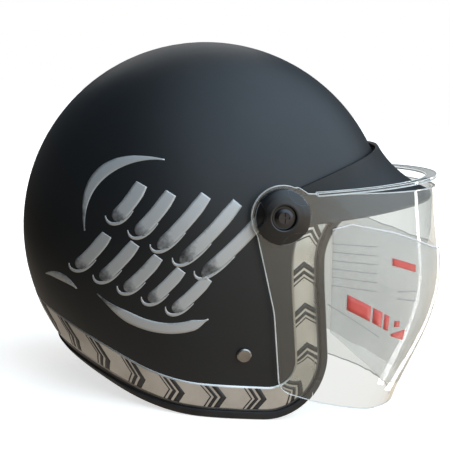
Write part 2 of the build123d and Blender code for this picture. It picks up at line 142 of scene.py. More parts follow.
def skin_normals(points):
    points = np.asarray(points, float).reshape(-1, 3)
    step = 0.05
    gradient = [level(points + e) - level(points - e) for e in np.eye(3) * step]
    return unit(np.array(gradient).T)


# ---- mesh helpers -------------------------------------------------------------------------------
def new_mesh(name, points, faces, smooth=True):
    mesh = bpy.data.meshes.new(name)
    mesh.from_pydata([tuple(p) for p in points], [], [tuple(int(i) for i in f) for f in faces])
    mesh.validate()
    piece = bpy.data.objects.new(name, mesh)
    bpy.context.scene.collection.objects.link(piece)
    mesh.polygons.foreach_set("use_smooth", [smooth] * len(mesh.polygons))
    return piece


def dress(piece, mat, body, cad=None):
    """Gives a piece its material, its body and the CAD node that it stands for."""
    paint(piece, mat)
    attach(piece, body)
    if cad:
        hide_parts(cad)


def new_piece(name, points, faces, mat, body, cad=None):
    """Dressed mesh piece whose faces all look outward."""
    piece = new_mesh(name, points, faces)
    bm = bmesh.new()
    bm.from_mesh(piece.data)
    bmesh.ops.recalc_face_normals(bm, faces=bm.faces)
    bm.to_mesh(piece.data)
    bm.free()
    dress(piece, mat, body, cad)
    return piece


def grid_faces(rows, columns, closed_rows=False, closed_columns=False):
    faces = []
    for i in range(rows if closed_rows else rows - 1):
        for j in range(columns if closed_columns else columns - 1):
            here, below = i * columns, ((i + 1) % rows) * columns
            after = (j + 1) % columns
            faces.append((here + j, here + after, below + after, below + j))
    return faces


def tube_faces(rows, columns):
    """Faces of a closed tube: rings of points, and a cap at each end."""
    last = (rows - 1) * columns
    caps = [tuple(range(columns))[::-1], tuple(range(last, last + columns))]
    return grid_faces(rows, columns, closed_columns=True) + caps


def sheet_faces(rows, columns):
    """Faces of a closed sheet: a grid of top points, then the same grid underneath."""
    count = rows * columns
    sheet = grid_faces(rows, columns)
    border = [(0, j) for j in range(columns)] + [(i, columns - 1) for i in range(1, rows)]
    border += [(rows - 1, j) for j in range(columns - 2, -1, -1)] + [(i, 0) for i in range(rows - 2, 0, -1)]
    border = [i * columns + j for i, j in border]
    faces = sheet + [tuple(i + count for i in f[::-1]) for f in sheet]
    for a, b in zip(border, border[1:] + border[:1]):
        faces.append((a, a + count, b + count, b))
    return faces


def copy_of(node, name):
    """New object with a copy of a CAD node's mesh."""
    piece = bpy.data.objects.new(name, nodes[node].data.copy())
    bpy.context.scene.collection.objects.link(piece)
    return piece


def paint(piece, material):
    piece.data.materials.clear()
    piece.data.materials.append(material)


def points_of(piece):
    points = np.empty(3 * len(piece.data.vertices))
    piece.data.vertices.foreach_get("co", points)
    return points.reshape(-1, 3)


def move_points(piece, points):
    piece.data.vertices.foreach_set("co", np.ascontiguousarray(points).ravel())
    piece.data.update()


def normals_of(piece):
    normals = np.empty(3 * len(piece.data.vertices))
    piece.data.vertex_normals.foreach_get("vector", normals)
    return normals.reshape(-1, 3)


def tree_of(node):
    """Ray-casting tree of a CAD node's surface."""
    mesh = nodes[node].data
    return BVHTree.FromPolygons([v.co[:] for v in mesh.vertices], [p.vertices[:] for p in mesh.polygons])


def apply_modifiers(piece):
    graph = bpy.context.evaluated_depsgraph_get()
    mesh = bpy.data.meshes.new_from_object(piece.evaluated_get(graph))
    piece.modifiers.clear()
    piece.data = mesh


PIPING_RADIUS = 0.0011


def piping(name, loops, mat, body="helmet", radius=PIPING_RADIUS, cyclic=True):
    """Corded seam along loops or lines."""
    curve = bpy.data.curves.new(name, "CURVE")
    curve.dimensions = "3D"
    curve.bevel_depth = radius
    curve.bevel_resolution = 3
    for loop in loops:
        spline = curve.splines.new("POLY")
        spline.points.add(len(loop) - 1)
        spline.points.foreach_set("co", np.column_stack([loop, np.ones(len(loop))]).ravel())
        spline.use_cyclic_u = cyclic
    piece = bpy.data.objects.new(name, curve)
    bpy.context.scene.collection.objects.link(piece)
    dress(piece, mat, body)


# ---- side-view paths ----------------------------------------------------------------------------
def rim_line(y):
    return -126.8 + y * math.tan(RIM_SLOPE)


def rounded_path(points, radii, step=1.5):
    """Points and left-hand normals along straight runs joined by tangent arcs."""
    out = []
    normals = []

    def add(point, tangent):
        out.append(point)
        normals.append((-tangent[1], tangent[0]))

    points = [np.array(p, float) for p in points]
    start = points[0]
    for i in range(1, len(points)):
        tangent = points[i] - points[i - 1]
        tangent = tangent / np.linalg.norm(tangent)
        last = i == len(points) - 1
        if last:
            end = points[i]
        else:
            leave = points[i + 1] - points[i]
            leave = leave / np.linalg.norm(leave)
            turn = math.acos(max(-1, min(1, float(tangent @ leave))))
            end = points[i] - tangent * radii[i] * math.tan(turn / 2)
        count = max(1, int(np.linalg.norm(end - start) / step))
        for k in range(count):
            add(start + (end - start) * k / count, tangent)
        if last:
            add(end, tangent)
            break
        side = 1 if tangent[0] * leave[1] - tangent[1] * leave[0] > 0 else -1
        centre = end + side * radii[i] * np.array((-tangent[1], tangent[0]))
        count = max(2, int(turn * radii[i] / step))
        for k in range(count):
            angle = side * turn * k / count
            c, s = math.cos(angle), math.sin(angle)
            spoke = end - centre
            spoke = np.array((c * spoke[0] - s * spoke[1], s * spoke[0] + c * spoke[1]))
            add(centre + spoke, (c * tangent[0] - s * tangent[1], s * tangent[0] + c * tangent[1]))
        start = points[i] + leave * radii[i] * math.tan(turn / 2)
    return np.array(out), np.array(normals)


RIM_END = rim_line(51) + 149 * 0.527
RIM_PATH, RIM_NORMALS = rounded_path(
    [(-200, 20.5), (-69.5, 20.5), (-70.7, -30), (-79.5, rim_line(-79.5)), (51, rim_line(51)), (200, RIM_END)],
    [0, 34, 200, 44, 160, 0], step=0.8)


def run_along(curve):
    """Length run to each point of a curve."""
    return np.concatenate([[0], np.cumsum(np.linalg.norm(np.diff(curve, axis=0), axis=1))])


def resample(curve, spacing):
    length = run_along(curve)
    count = max(2, int(length[-1] / spacing))
    at = np.linspace(0, length[-1], count + 1)
    return np.stack([np.interp(at, length, curve[:, k]) for k in range(3)], axis=1)


def rim_points(t, inset, depth=0.0):
    """Right-hand skin points at places t of the rim path, moved in from the edge."""
    index = np.arange(len(RIM_PATH))
    flat = RIM_PATH + RIM_NORMALS * inset
    y = np.interp(t, index, flat[:, 0])
    z = np.interp(t, index, flat[:, 1])
    return np.stack([-side_x(y, z, depth), y, z], axis=1)


def edge_curve(inset, depth, spacing):
    """Right-hand curve on the skin, inset from the rim's outer edge, brow centre to nape centre."""
    count = len(RIM_PATH)
    curve = rim_points(np.linspace(0, count - 1, 12 * count), inset, depth)
    inside = np.nonzero(curve[:, 0] < 0)[0]
    return resample(curve[inside[0] - 1:inside[-1] + 2], spacing)


# ---- materials ----------------------------------------------------------------------------------
def node(tree, kind, **values):
    made = tree.nodes.new(kind)
    for key, value in values.items():
        if key in made.inputs:
            made.inputs[key].default_value = value
        else:
            setattr(made, key, value)
    return made


def calculate(tree, operation, *values, clamp=False):
    """Math node over sockets and plain numbers."""
    made = node(tree, "ShaderNodeMath", operation=operation, use_clamp=clamp)
    for socket, value in zip(made.inputs, values):
        if isinstance(value, (int, float)):
            socket.default_value = value
        else:
            tree.links.new(value, socket)
    return made.outputs[0]


def map_range(tree, source, low, high, to_low, to_high, smooth_steps=False):
    spread = node(tree, "ShaderNodeMapRange")
    spread.interpolation_type = "SMOOTHSTEP" if smooth_steps else "LINEAR"
    for socket, value in zip(spread.inputs[1:5], (low, high, to_low, to_high)):
        socket.default_value = value
    tree.links.new(source, spread.inputs[0])
    return spread.outputs[0]


def cloud(tree, scale, detail):
    """Noise that is fixed to the object."""
    place = node(tree, "ShaderNodeTexCoord")
    noise = node(tree, "ShaderNodeTexNoise", Scale=scale, Detail=detail)
    tree.links.new(place.outputs["Object"], noise.inputs["Vector"])
    return noise.outputs["Fac"]


def colour_ramp(tree, source, *stops):
    """Colour of a source that runs through stops of (position, colour)."""
    ramp = node(tree, "ShaderNodeValToRGB")
    elements = ramp.color_ramp.elements
    for _ in stops[2:]:
        elements.new(0.5)
    for i, (position, colour) in enumerate(stops):
        elements[i].position = position
        elements[i].color = (*colour, 1)
    tree.links.new(source, ramp.inputs["Fac"])
    return ramp.outputs["Color"]


def mix_shaders(tree, share, first, second):
    mixed = node(tree, "ShaderNodeMixShader")
    for socket, source in zip(mixed.inputs, (share, first, second)):
        tree.links.new(source, socket)
    return mixed.outputs[0]


def show(tree, shader, output="Material Output"):
    tree.links.new(shader, tree.nodes[output].inputs["Surface"])


def material(name, colour, roughness, **sockets):
    mat = bpy.data.materials.new(name)
    mat.use_nodes = True
    shader = mat.node_tree.nodes["Principled BSDF"]
    shader.inputs["Base Color"].default_value = (*colour, 1)
    shader.inputs["Roughness"].default_value = roughness
    for key, value in sockets.items():
        shader.inputs[key.replace("_", " ")].default_value = value
    return mat, mat.node_tree, shader


def uneven_gloss(tree, shader, low, high, scale):
    spread = map_range(tree, cloud(tree, scale, 5.0), 0.3, 0.7, low, high)
    tree.links.new(spread, shader.inputs["Roughness"])


BUMP_FILTER = 1.0


def bump(tree, shader, kind, scale, strength, distance):
    place = node(tree, "ShaderNodeTexCoord")
    texture = node(tree, "ShaderNodeTex" + kind, Scale=scale)
    height = node(tree, "ShaderNodeBump", Strength=strength, Distance=distance)
    height.inputs["Filter Width"].default_value = BUMP_FILTER
    tree.links.new(place.outputs["Object"], texture.inputs["Vector"])
    output = "Distance" if kind == "Voronoi" else "Fac"
    tree.links.new(texture.outputs[output], height.inputs["Height"])
    tree.links.new(height.outputs["Normal"], shader.inputs["Normal"])


def surface(name, plain, roughness, dark, light, scale, gloss=None, grain=None, **sockets):
    """Tone that wanders from dark to light.  plain and roughness serve where patterns aren't read, gloss
    is the lowest and highest roughness and its scale, grain the bump's texture, scale, strength, height."""
    mat, tree, shader = material(name, plain, roughness, **sockets)
    tone = colour_ramp(tree, cloud(tree, scale, 4.0), (0.35, dark), (0.65, light))
    tree.links.new(tone, shader.inputs["Base Color"])
    if gloss:
        uneven_gloss(tree, shader, *gloss)
    if grain:
        bump(tree, shader, *grain)
    return mat


def moulded(name, dark, light, low=0.35, high=0.5, grain=0.12):
    return surface(name, dark, low, dark, light, 40, (low, high, 60), ("Noise", 900, grain, 0.0002))


def metal(name, dark, light, low=0.2, high=0.35):
    return surface(name, dark, low, dark, light, 50, (low, high, 90), Metallic=1.0)


def ink(name, dark, light, alpha):
    return surface(name, dark, 0.45, dark, light, 90, Alpha=alpha)


def clear_plastic():
    """Clear plastic that lets the light straight through onto what it covers."""
    mat, tree, shader = material("clear_plastic", (0.895, 0.915, 0.9), 0.02, Transmission_Weight=1.0,
                                 IOR=1.55)
    uneven_gloss(tree, shader, 0.0, 0.006, 20)
    rays = node(tree, "ShaderNodeLightPath").outputs
    viewed = calculate(tree, "MAXIMUM", rays["Is Camera Ray"], rays["Is Transmission Ray"])
    clear = node(tree, "ShaderNodeBsdfTransparent", Color=(0.93, 0.95, 0.94, 1))
    show(tree, mix_shaders(tree, viewed, clear.outputs[0], shader.outputs[0]))
    return mat


def highlight_edges(mat):
    """Paints a pale highlight along the material's convex edges, where their rims catch the light."""
    tree = mat.node_tree
    base = tree.nodes["Principled BSDF"].inputs["Base Color"]
    mixed = node(tree, "ShaderNodeMix", data_type="RGBA")
    edge = node(tree, "ShaderNodeNewGeometry").outputs["Pointiness"]
    tree.links.new(map_range(tree, edge, 0.53, 0.62, 0, 1), mixed.inputs["Factor"])
    tree.links.new(base.links[0].from_socket, mixed.inputs[6])
    # pale grey of the painted edge highlight
    mixed.inputs[7].default_value = (0.16, 0.17, 0.18, 1)
    tree.links.new(mixed.outputs[2], base)
    return mat


def brushed_print():
    """Silver ink that thins out over the black paint, with a mottled edge to the fade."""
    mat, tree, shader = material("brushed_print", (0.5, 0.5, 0.49), 0.4, Metallic=0.3)
    tone = node(tree, "ShaderNodeAttribute", attribute_name="tone").outputs["Fac"]
    speckled = calculate(tree, "MULTIPLY_ADD", cloud(tree, 420.0, 3.0), 0.5, tone)
    mottled = calculate(tree, "ADD", cloud(tree, 60.0, 3.0), speckled)
    shade = colour_ramp(tree, calculate(tree, "SUBTRACT", mottled, 0.42), (0.12, (0.014, 0.0155, 0.017)),
                        (0.45, (0.2, 0.203, 0.203)), (0.8, (0.47, 0.475, 0.47)))
    tree.links.new(shade, shader.inputs["Base Color"])
    return mat


MATERIALS = {
    "shell_black": surface("matte_black_paint", (0.008, 0.009, 0.01), 0.44,
                           (0.0065, 0.0075, 0.0085), (0.0095, 0.011, 0.0125), 9,
                           (0.4, 0.47, 14), ("Noise", 1100, 0.05, 0.0001), Specular_IOR_Level=0.42),
    "rubber_trim": surface("black_rubber", (0.012, 0.012, 0.013), 0.55,
                           (0.009, 0.009, 0.01), (0.017, 0.017, 0.018), 60,
                           (0.42, 0.68, 45), ("Noise", 900, 0.2, 0.0003), Specular_IOR_Level=0.35),
    "foam": surface("bead_foam", (0.1, 0.1, 0.105), 0.85, (0.075, 0.075, 0.08), (0.125, 0.125, 0.13), 90,
                    grain=("Voronoi", 330, 0.7, 0.0012)),
    "lining": surface("brushed_knit", (0.02, 0.02, 0.024), 0.9, (0.014, 0.014, 0.017), (0.034, 0.034, 0.04),
                      120, grain=("Voronoi", 900, 0.5, 0.0006), Sheen_Weight=0.4, Sheen_Roughness=0.5),
    "black_nylon": moulded("black_nylon", (0.018, 0.018, 0.019), (0.03, 0.03, 0.031)),
    "peak_black": surface("peak_black", (0.008, 0.009, 0.01), 0.5,
                          (0.007, 0.008, 0.009), (0.011, 0.0125, 0.014), 20,
                          (0.44, 0.54, 30), ("Noise", 150, 0.02, 0.0002), Specular_IOR_Level=0.28),
    "visor_clear": clear_plastic(),
    "zinc_steel": metal("zinc_steel", (0.5, 0.5, 0.48), (0.66, 0.66, 0.63)),
    # the cap's convex edges carry a painted highlight
    "cap_black": highlight_edges(moulded("cap_black", (0.004, 0.0045, 0.005), (0.007, 0.0075, 0.008), 0.14, 0.22, 0.02)),
    "black_screw": metal("black_screw", (0.035, 0.035, 0.038), (0.06, 0.06, 0.065), 0.14, 0.26),
    "rivet_dark": metal("rivet_dark", (0.2, 0.19, 0.175), (0.32, 0.3, 0.28), 0.22, 0.34),
    "webbing": surface("woven_webbing", (0.02, 0.02, 0.022), 0.8, (0.013, 0.013, 0.015),
                       (0.032, 0.032, 0.036), 300, grain=("Wave", 420, 0.6, 0.0006), Sheen_Weight=0.25),
    "buckle_lever": metal("buckle_lever", (0.05, 0.05, 0.055), (0.08, 0.08, 0.085), 0.3, 0.42),
    "pull_ribbon": moulded("pull_ribbon", (0.35, 0.012, 0.014), (0.48, 0.02, 0.022), 0.7, 0.85),
}
SILVER = surface("silver_print", (0.55, 0.54, 0.52), 0.3, (0.46, 0.45, 0.43), (0.62, 0.61, 0.59), 30,
                 (0.24, 0.38, 80), Metallic=0.85)
BLACK_PRINT = surface("black_print", (0.018, 0.018, 0.019), 0.42, (0.014, 0.014, 0.015),
                      (0.026, 0.026, 0.027), 60)
BRUSHED_PRINT = brushed_print()
FILM_SHEET = surface("film_sheet", (0.5, 0.51, 0.48), 0.3, (0.45, 0.46, 0.43), (0.58, 0.59, 0.56), 25,
                     (0.2, 0.4, 30), ("Noise", 40, 0.1, 0.001), Alpha=0.24)
RED_INK = ink("red_ink", (0.56, 0.05, 0.04), (0.66, 0.09, 0.075), 0.8)
GREY_INK = ink("grey_ink", (0.3, 0.31, 0.32), (0.42, 0.43, 0.43), 0.32)
FILM_EDGE = ink("film_edge", (0.85, 0.87, 0.9), (0.95, 0.96, 0.98), 0.7)
# pale half-clear white for the visor's edges: a painted highlight
EDGE_HIGHLIGHT = surface("painted_edge_highlight", (0.8, 0.82, 0.82), 0.2, (0.7, 0.72, 0.72), (0.9, 0.92, 0.92), 60,
                        Alpha=0.7)
SEAM_CORD = moulded("seam_cord", (0.02, 0.02, 0.022), (0.04, 0.04, 0.043), 0.6, 0.75)
THREAD = moulded("thread", (0.05, 0.05, 0.053), (0.09, 0.09, 0.095), 0.6, 0.75)
for entry in frame["record"]["subparts"]:
    paint(nodes[entry["node"]], MATERIALS[entry["material_slot"]])


# ---- edge trim ----------------------------------------------------------------------------------
def trim_section():
    """Rounded rubber channel: 6.5 mm up the skin, 7.2 mm through, rounded on its outer edge."""
    points = []
    for centre_a, centre_n, radius, start in ((-0.6, 1.0, 2.6, 0), (-3.9, 3.0, 0.6, 90),
                                              (-3.9, -3.0, 0.6, 180), (-0.6, -1.0, 2.6, 270)):
        for k in range(6):
            angle = math.radians(start + 18 * k)
            points.append((centre_a + radius * math.cos(angle), centre_n + radius * math.sin(angle)))
    return points


def trim(name, curve, cad):
    """Sweeps the trim's section, given as (outward from the edge, off the skin), along a curve."""
    section = trim_section()
    tangent = unit(np.gradient(curve, axis=0))
    away = unit(np.cross(tangent, skin_normals(curve)))
    normal = np.cross(away, tangent)
    rows = [curve + away * a + normal * n for a, n in section]
    points = np.stack(rows, axis=1).reshape(-1, 3)
    new_piece(name, to_row(points), tube_faces(len(curve), len(section)), MATERIALS["rubber_trim"],
              "helmet", cad)


def edge_trims():
    half = edge_curve(2.0, SHELL_THICKNESS / 2, 2.5)
    ring = np.concatenate([half[::-1], half[1:-1] * (-1, 1, 1)])
    is_face = (ring[:, 2] > TRIM_SPLIT) & (ring[:, 1] < -40)
    start = next(i for i in range(len(ring)) if is_face[i] and not is_face[i - 1])
    ring = np.roll(ring, -start, axis=0)
    length = int(np.sum(is_face))
    trim("face_trim_rubber", ring[:length + 1], "face_edge_trim")
    trim("neck_trim_rubber", np.concatenate([ring[length:], ring[:1]]), "neck_edge_trim")


edge_trims()


# ---- printed band -------------------------------------------------------------------------------
BAND_EDGES = (TRIM_WIDTH, 25.5)      # insets from the rim's outer edge
BAND_STEP = 2.0
BAND_COLUMNS = 9
BAND_START = next(i for i, p in enumerate(RIM_PATH) if p[1] < 15)
CHEVRON_PITCH = 30.2
CHEVRON_DEPTH = 7.0
CHEVRON_PHASE = 18.6
CHEVRON_LENGTH = 16
CHEVRON_REACH = 0.84                 # share of the band's half width
CHEVRON_COLUMNS = 13
CHEVRON_BARS = ((0.0, 4.4), (6.4, 2.8), (11.0, 1.1))     # start and width along the band
PRINT_LIFT = 0.12
PRINT_DEPTH = 0.1


def rim_end(inset):
    t = np.linspace(0, len(RIM_PATH) - 1, 40000)
    return t[np.nonzero(rim_points(t, inset)[:, 0] < 0)[0][-1]]


def band_ribs():
    """Lower and upper ends of the band's cross lines, and the length run to each."""
    ends = [rim_end(inset) for inset in BAND_EDGES]
    u = 1 - (1 - np.linspace(0, 1, 9000))**2
    nape = BAND_START + (ends[0] - BAND_START) * u
    late = smooth(u, 0.5, 1)
    rows = [rim_points(nape + (end - ends[0]) * late, inset) for end, inset in zip(ends, BAND_EDGES)]
    for row in rows:
        row[-1, 0] = 0
    return rows[0], rows[1], run_along((rows[0] + rows[1]) / 2)


LOW_RIB, HIGH_RIB, BAND_RUN = band_ribs()


def band_point(s, v):
    """Skin points s along the band and v across it, -1 at the trim and 1 at its upper edge."""
    s, v = np.broadcast_arrays(np.asarray(s, float), np.asarray(v, float))
    low = np.stack([np.interp(s.ravel(), BAND_RUN, LOW_RIB[:, k]) for k in range(3)], axis=1)
    high = np.stack([np.interp(s.ravel(), BAND_RUN, HIGH_RIB[:, k]) for k in range(3)], axis=1)
    share = (v.ravel()[:, None] + 1) / 2
    return on_skin(low * (1 - share) + high * share)


SHELL_TREE = tree_of("outer_shell")


def on_shell(points, normals):
    """Row-frame points moved along their normals onto the shell's own surface."""
    reach = 0.004
    out = []
    for point, normal in zip(points, normals):
        n = Vector(normal)
        hit = SHELL_TREE.ray_cast(Vector(point) + n * reach, -n, 2 * reach)[0]
        out.append(tuple(hit) if hit else tuple(point))
    return np.array(out)


class Prints:
    """Collects thin closed sheets that lie on the shell, on both sides of it."""

    def __init__(self):
        self.points = []
        self.faces = []
        self.tones = []

    def add(self, skin, rows, columns, lift=PRINT_LIFT, tones=1.0):
        faces = sheet_faces(rows, columns)
        tone = np.broadcast_to(tones, rows * columns)
        for side in (1, -1):
            sided = skin * (side, 1, 1)
            normal = skin_normals(sided) @ (HEAD_ARRAY[:3, :3].T * 1000)
            laid = on_shell(to_row(sided), normal)
            base = sum(len(p) for p in self.points)
            self.points += [laid + normal * lift / 1000, laid - normal * PRINT_DEPTH / 1000]
            self.faces += [tuple(base + i for i in f[::side]) for f in faces]
            self.tones += [tone, tone]

    def make(self, name, mat):
        piece = new_piece(name, np.concatenate(self.points), self.faces, mat, "helmet")
        tone = piece.data.attributes.new("tone", "FLOAT", "POINT")
        tone.data.foreach_set("value", np.concatenate(self.tones))


def rim_band():
    band = Prints()
    rows = int(BAND_RUN[-1] / BAND_STEP)
    s = np.linspace(0, BAND_RUN[-1], rows)[:, None]
    band.add(band_point(s, np.linspace(-1, 1, BAND_COLUMNS)[None, :]), rows, BAND_COLUMNS)
    band.make("rim_band", SILVER)
    marks = Prints()
    v = np.linspace(-CHEVRON_REACH, CHEVRON_REACH, CHEVRON_COLUMNS)
    groups = int((BAND_RUN[-1] - CHEVRON_PHASE - CHEVRON_LENGTH) / CHEVRON_PITCH) + 1
    for k in range(groups):
        for start, width in CHEVRON_BARS:
            front = CHEVRON_PHASE + k * CHEVRON_PITCH + start + CHEVRON_DEPTH * np.abs(v)
            s = np.stack([front, front + width])
            marks.add(band_point(s, v[None, :]), 2, CHEVRON_COLUMNS, lift=2 * PRINT_LIFT)
    marks.make("rim_band_chevrons", BLACK_PRINT)


rim_band()


# ---- side graphic -------------------------------------------------------------------------------
# Plain feather strokes over a blank ribbon, drawn in the side view as (y, z) of the head frame.
RIBBON_SHADE = 0.55          # how much darker a stroke is along its lower edge


def bezier(points, count):
    t = np.linspace(0, 1, count)[:, None]
    last = len(points) - 1
    return sum(math.comb(last, k) * (1 - t)**(last - k) * t**k * np.array(p, float)
               for k, p in enumerate(points))


def stroke(prints, line, width, tone, across=5):
    """Brush stroke along a side-view line; width and tone are functions of the share run."""
    share = np.linspace(0, 1, len(line))
    run = unit(np.gradient(line, axis=0))
    side = np.stack([-run[:, 1], run[:, 0]], axis=1)
    v = np.linspace(-0.5, 0.5, across)
    flat = line[:, None, :] + side[:, None, :] * v[None, :, None] * width(share)[:, None, None]
    y, z = flat.reshape(-1, 2).T
    shade = 1 - RIBBON_SHADE * np.clip(0.5 - v, 0, 1)**1.6
    tones = (tone(share)[:, None] * shade[None, :]).ravel()
    prints.add(np.stack([-side_x(y, z), y, z], axis=1), len(line), across, tones=tones)


def swelling(least, most, power=1.0, first=0.02, last=0.98):
    """Stroke width that swells from both ends to the middle."""
    return lambda s: least + most * np.sin(math.pi * np.clip(s, first, last))**power


def feather(prints, root, angle, length, width, bend):
    """Slanted stroke: rounded root that fades into the paint, blunt tip, hairline under the root."""
    def stem_width(s):
        rounded = np.sqrt(np.clip(1 - (1 - np.clip(s / 0.16, 0, 1))**2, 0.02, 1))
        return width * rounded * (1 - 0.16 * np.clip((s - 0.8) / 0.2, 0, 1))

    ahead = np.array((-math.cos(math.radians(angle)), math.sin(math.radians(angle))))
    below = np.array((-ahead[1], ahead[0]))
    root = np.array(root, float)
    tip = root + ahead * length
    stem = bezier((root, (root + tip) / 2 + below * bend, tip), 40)
    stroke(prints, stem, stem_width, lambda s: 0.06 + 0.94 * smooth(s, 0.06, 0.42), 7)
    gap = width / 2 + 1.9
    hook = bezier((root - ahead * 1.5 - below * gap * 0.9, root - ahead * 7.5, root + below * (gap + 0.6),
                   root + ahead * length * 0.42 + below * (gap - 0.3)), 36)
    stroke(prints, hook, swelling(0.5, 1.9, 0.8, first=0.04), lambda s: np.full_like(s, 0.9), 3)


UPPER_FEATHERS = (32, 38, 50, 58, 62)        # lengths, rear to front
LOWER_FEATHERS = (33, 36, 34, 32, 34)


def side_graphic():
    art = Prints()
    for k, length in enumerate(UPPER_FEATHERS):
        feather(art, (80 - 15.0 * k, 19 - 9.6 * k), 52 - 2.2 * k, length, 9.6, 2.5)
    for k, length in enumerate(LOWER_FEATHERS):
        feather(art, (106 - 16.5 * k, -17 - 7.0 * k), 50 - 1.5 * k, length, 8.8, 2.0)
    crescent = bezier(((100, 10), (104, 50), (76, 66), (44, 61)), 48)
    stroke(art, crescent, swelling(0.8, 7.0, 1.4, last=0.99), lambda s: 0.35 + 0.65 * smooth(s, 0.1, 0.5))
    stroke(art, bezier(((128, -26), (118, -22), (106, -33)), 20), swelling(0.6, 5.0),
           lambda s: np.full_like(s, 0.5))
    ribbon = bezier(((92, -35), (66, -60), (38, -63), (15, -51)), 60)
    stroke(art, ribbon, lambda s: 1.0 + 7.0 * smooth(s, 0, 0.3) * (1 - smooth(s, 0.84, 1.0)),
           lambda s: 0.02 + 0.98 * smooth(s, 0.03, 0.3))
    art.make("side_graphic", BRUSHED_PRINT)


side_graphic()


# ---- protective film on the visor ---------------------------------------------------------------
# Places on the visor are a heading, in degrees from straight ahead toward the wearer's right, and a
# height in millimetres of the head frame.
VISOR_TREE = tree_of("visor")
FILM_AXIS = -60.0            # y of the upright line that headings are taken from
FILM_THICKNESS = 0.0001
FILM_LIFT = 0.00012
MARK_LIFT = 0.0003
FILM_TOP = ((84, 12), (77, 15), (58, 6), (43, -4), (32, -11), (15, -17))
FILM_BOTTOM = ((84, -63), (73, -83), (56, -110), (40, -119), (15, -124))


def on_visor(heading, z):
    """Point and normal of the visor's outer face."""
    turn = math.radians(heading)
    ahead = HEAD_TURN @ Vector((-math.sin(turn), -math.cos(turn), 0))
    origin = HEAD @ Vector((0, FILM_AXIS, z))
    hit, normal, _, _ = VISOR_TREE.ray_cast(origin + ahead * 0.4, -ahead)
    if normal.dot(ahead) < 0:
        normal = -normal
    return hit, normal


def film(name, spans, mat, rows=4, lift=MARK_LIFT):
    """Thin closed sheet on the visor, from spans of (heading, top, bottom)."""
    heading, top, bottom = np.array(spans, float).T
    columns = max(2, int((heading[0] - heading[-1]) / 1.5))
    outer, inner = [], []
    for i in range(rows):
        share = i / (rows - 1)
        for j in range(columns):
            at = heading[0] + (heading[-1] - heading[0]) * j / (columns - 1)
            high = np.interp(-at, -heading, top)
            low = np.interp(-at, -heading, bottom)
            hit, normal = on_visor(at, high + (low - high) * share)
            outer.append(hit + normal * (lift + FILM_THICKNESS))
            inner.append(hit + normal * lift)
    new_piece(name, outer + inner, sheet_faces(rows, columns), mat, "visor_body")


def film_spans(height=None):
    """Spans of the whole film, or of a strip of given height under its top edge."""
    right = sorted({h for h, _ in FILM_TOP + FILM_BOTTOM}, reverse=True)
    headings = np.array(right + [-h for h in right[::-1]], float)
    top = np.interp(np.abs(headings), *np.array(FILM_TOP[::-1]).T)
    bottom = np.interp(np.abs(headings), *np.array(FILM_BOTTOM[::-1]).T)
    if height is not None:
        bottom = top - height
    return list(zip(headings, top, bottom))


def visor_film():
    """Film with plain bars and lines in place of print, and a grey line of painted shade along its crease."""
    film("visor_film", film_spans(), FILM_SHEET, 30, FILM_LIFT)
    film("film_top_edge", film_spans(0.9), FILM_EDGE, 2)
    for k, ends in enumerate(((78, 68), (67, 62.5), (61.5, 59))):
        tops = [-36 - 1.1 * (78 - heading) for heading in ends]
        film(f"film_red_block_{k + 1}", [(h, top, top - 11.5) for h, top in zip(ends, tops)], RED_INK)
    film("film_red_bar", ((59, -13, -18.5), (46, -21.5, -27)), RED_INK)
    film("film_red_tab_1", ((56, -61.5, -66), (53, -62.5, -67)), RED_INK)
    film("film_red_tab_2", ((57, -71, -73), (49, -70.5, -79)), RED_INK)
    # grey line along the film's fold: painted shade of the crease
    film("film_crease_shade", ((85, -42, -42.8), (63, -71.6, -72.4)), GREY_INK, 2)
    for k in range(2):
        left, right = -38.6 - 5.4 * k, -41.4 - 7.6 * k
        film(f"film_grey_line_{k + 1}", ((55.5, left, left - 1), (45, right, right - 1)), GREY_INK, 2)
    for k in range(6):
        left, right = 2 - 6 * k, -3 - 6.6 * k
        film(f"film_row_{k + 1}", ((84, left, left - 0.7), (66, right, right - 0.7)), GREY_INK, 2)


visor_film()


# ---- visor edges --------------------------------------------------------------------------------
EDGE_LINE_RADIUS = 0.00028


def sharp_lines(cad, least):
    """Chains of points along a CAD node's edges that turn by more than an angle in degrees."""
    bm = bmesh.new()
    bm.from_mesh(nodes[cad].data)
    bmesh.ops.remove_doubles(bm, verts=bm.verts, dist=2e-6)
    sharp = [e for e in bm.edges if len(e.link_faces) == 2 and e.calc_face_angle() > math.radians(least)]
    links = {}
    for edge in sharp:
        a, b = edge.verts
        links.setdefault(a.index, set()).add(b.index)
        links.setdefault(b.index, set()).add(a.index)
    bm.verts.ensure_lookup_table()
    places = [tuple(v.co) for v in bm.verts]
    bm.free()
    chains = []
    for start in sorted(links, key=lambda i: len(links[i])):
        while links[start]:
            chain = [start]
            while links[chain[-1]]:
                following = links[chain[-1]].pop()
                links[following].discard(chain[-1])
                chain.append(following)
            chains.append(np.array([places[i] for i in chain]))
    return chains


# Pale tubes along the visor's sharp edges: painted highlights of the edges catching the light.
piping("visor_edge_highlights", [line for line in sharp_lines("visor", 40) if len(line) > 5], EDGE_HIGHLIGHT,
       "visor_body", EDGE_LINE_RADIUS, False)


# ---- pivot caps ---------------------------------------------------------------------------------
# Profiles are (radius, height over the washer) in millimetres; angles run round the hinge axis.
CAP_PROFILE = ((3.3, 2.6), (8.2, 2.6), (8.5, 2.9), (8.7, 5.0), (9.1, 5.45), (9.7, 5.6), (10.4, 5.45),
               (11.2, 5.3), (14.5, 4.6), (17.6, 3.5), (18.9, 2.9), (19.45, 2.5), (19.7, 2.0), (19.7, 0.0))
CAP_STEP = 0.45
CAP_COLUMNS = 216
CAP_FLOOR = 0.6              # thinnest that a scallop leaves the cap
SCALLOPS = (180, 60, 300)            # seen from the wearer's right, 0 toward the face, 90 up
SCALLOP_CENTRE = 24.7
SCALLOP_RADIUS = 11.5
SCALLOP_DEPTH = 2.0
SCALLOP_EDGE = 0.6


